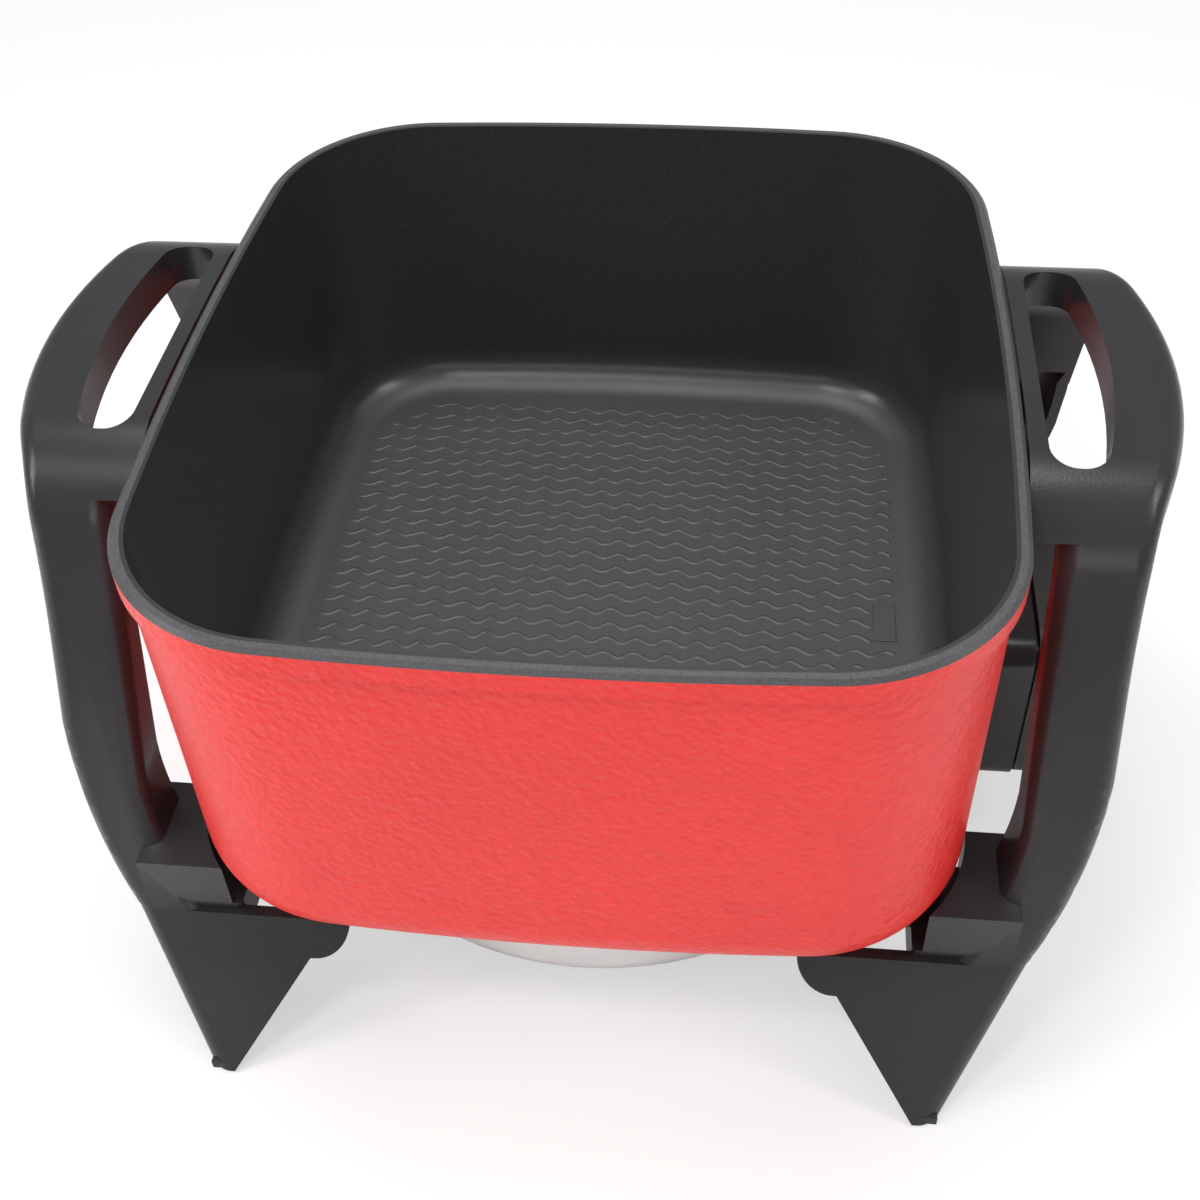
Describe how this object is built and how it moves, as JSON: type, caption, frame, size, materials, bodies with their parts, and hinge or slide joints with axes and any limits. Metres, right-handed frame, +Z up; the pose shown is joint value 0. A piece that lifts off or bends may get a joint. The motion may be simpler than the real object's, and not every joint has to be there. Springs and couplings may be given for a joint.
{
  "type": "electric skillet",
  "caption": "Deep square electric skillet with bowed sides, moulded loop handles that run down into splayed feet, and a plug-in heat control with a dial.",
  "frame": {"origin": "on the table under the middle of the pan", "axes": "+Z up, +X to the right towards the heat control, -Y to the front"},
  "size_m": [0.403, 0.3388, 0.223],
  "materials": {
    "enamel": "red crinkle enamel outside, black non-stick coating inside",
    "bakelite": "satin moulded phenolic",
    "control_plastic": "fine-textured moulding",
    "shield_metal": "bright pressed sheet",
    "steel": "bright zinc-plated",
    "nickel": "nickel-plated",
    "brass": "bright",
    "ceramic": "unglazed steatite",
    "rubber": "matt",
    "lens": "clear amber moulding",
    "lamp_glass": "clear"
  },
  "bodies": {
    "skillet": {"pan_body": "enamel", "heating_element": "steel", "terminal_bushes": "ceramic", "live_pin": "nickel", "neutral_pin": "nickel", "earth_pin": "nickel", "heat_shield": "shield_metal", "heat_shield_screws": "steel", "right_bracket": "bakelite", "left_bracket": "bakelite", "right_bracket_screws": "steel", "left_bracket_screws": "steel", "right_foot_pads": "rubber", "left_foot_pads": "rubber", "socket_shroud": "bakelite", "socket_shroud_screws": "steel"},
    "heat_control": {"control_inner_shell": "control_plastic", "control_cover": "control_plastic", "control_screws": "steel", "live_receptacle": "brass", "neutral_receptacle": "brass", "earth_receptacle": "brass", "thermostat_probe": "steel", "thermostat_block": "ceramic", "lamp_lens": "lens", "pilot_lamp": "lamp_glass", "cord_gland": "rubber"},
    "dial": {"control_dial": "control_plastic", "dial_shaft": "steel"}
  },
  "joints": [
    {"name": "heat_control_pull", "type": "slide", "parent": "skillet", "child": "heat_control", "axis": [1, 0, 0], "range_m": [0, 0.075]},
    {"name": "dial_turn", "type": "hinge", "parent": "heat_control", "child": "dial", "pos_m": [0.19, 0, 0.09], "axis": [1, 0, 0], "range_deg": [0, 270]}
  ]
}
